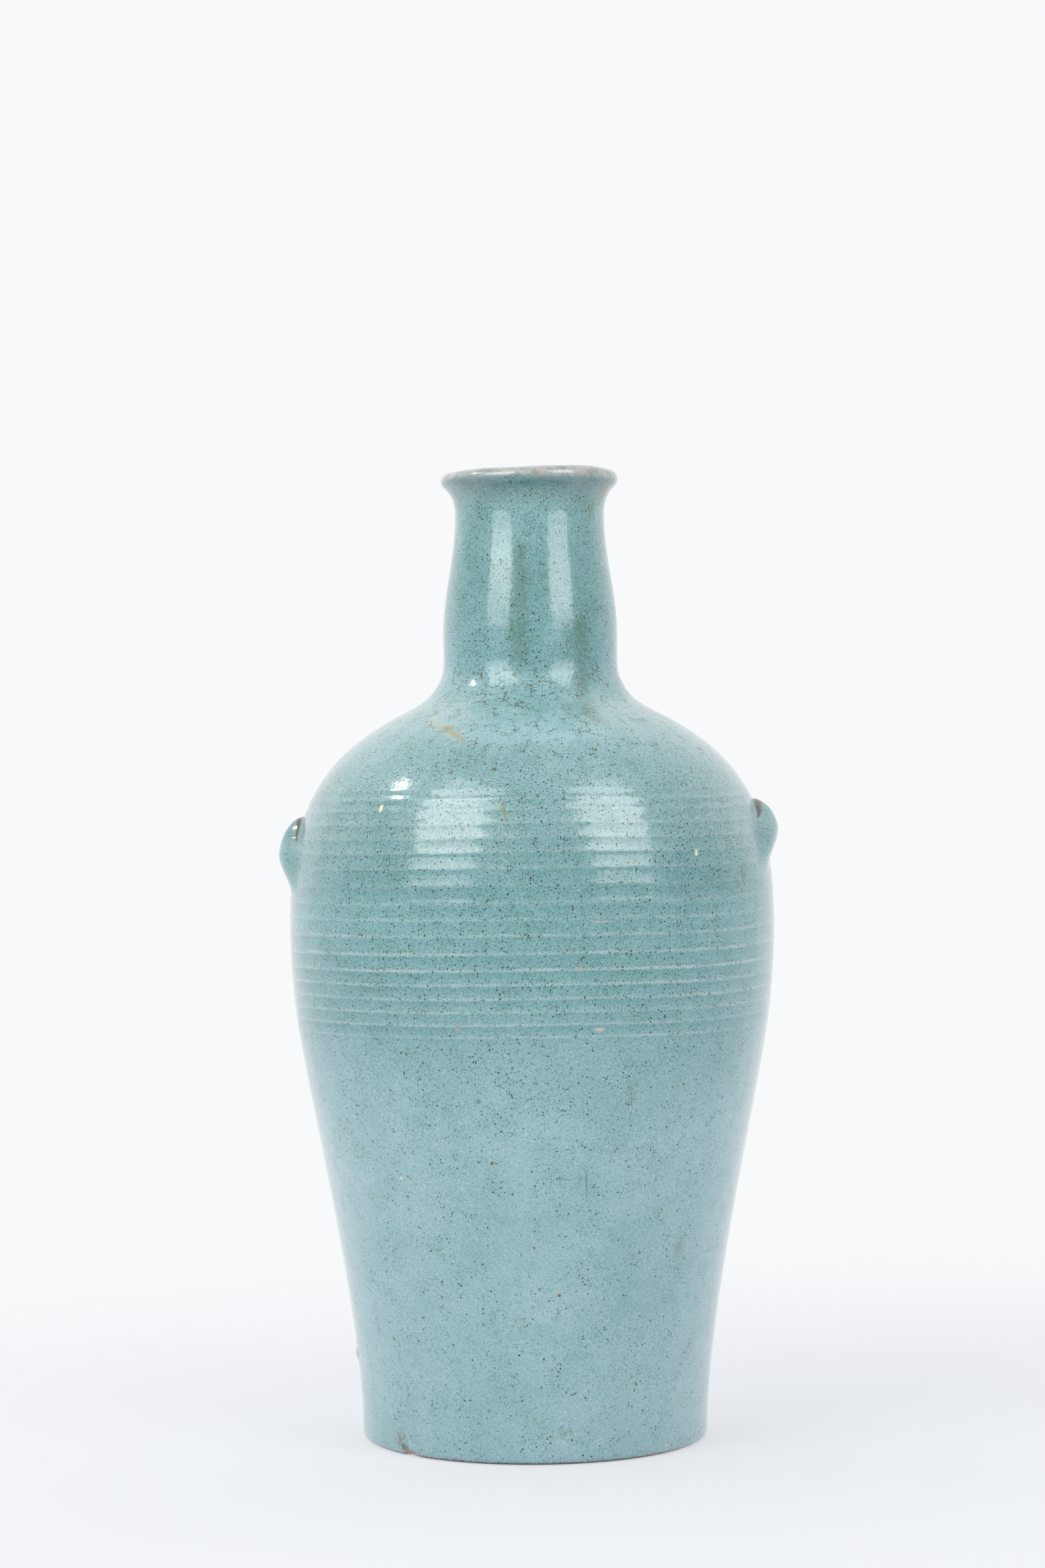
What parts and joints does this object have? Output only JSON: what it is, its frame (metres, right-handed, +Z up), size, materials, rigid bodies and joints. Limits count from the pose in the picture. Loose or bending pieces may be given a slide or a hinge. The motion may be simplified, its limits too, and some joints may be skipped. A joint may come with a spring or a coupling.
{
  "type": "liquor bottle",
  "caption": "Tall glazed earthenware bottle with a swelling ringed body, a waisted neck with a rolled lip, and pinched lugs on the shoulder, for holding liquor.",
  "frame": {"origin": "centre of the flat foot, on the surface that the bottle stands on", "axes": "+Z up along the bottle's axis, +X to the right lug's side, -Y towards the camera of the picture"},
  "size_m": [0.1694, 0.1664, 0.33],
  "materials": {
    "lower_glaze": "glossy speckled turquoise glaze on a turned wall",
    "upper_glaze": "glossy speckled turquoise glaze over throwing rings",
    "neck_glaze": "glossy speckled green turquoise glaze with drips",
    "lug_glaze": "glossy speckled turquoise glaze, thin on the edges",
    "slip": "fired luting slip"
  },
  "bodies": {
    "root": {"lower_body": "lower_glaze", "belly_lute": "slip", "upper_body": "upper_glaze", "neck_lute": "slip", "neck": "neck_glaze", "left_lug": "lug_glaze", "right_lug": "lug_glaze"}
  },
  "joints": []
}
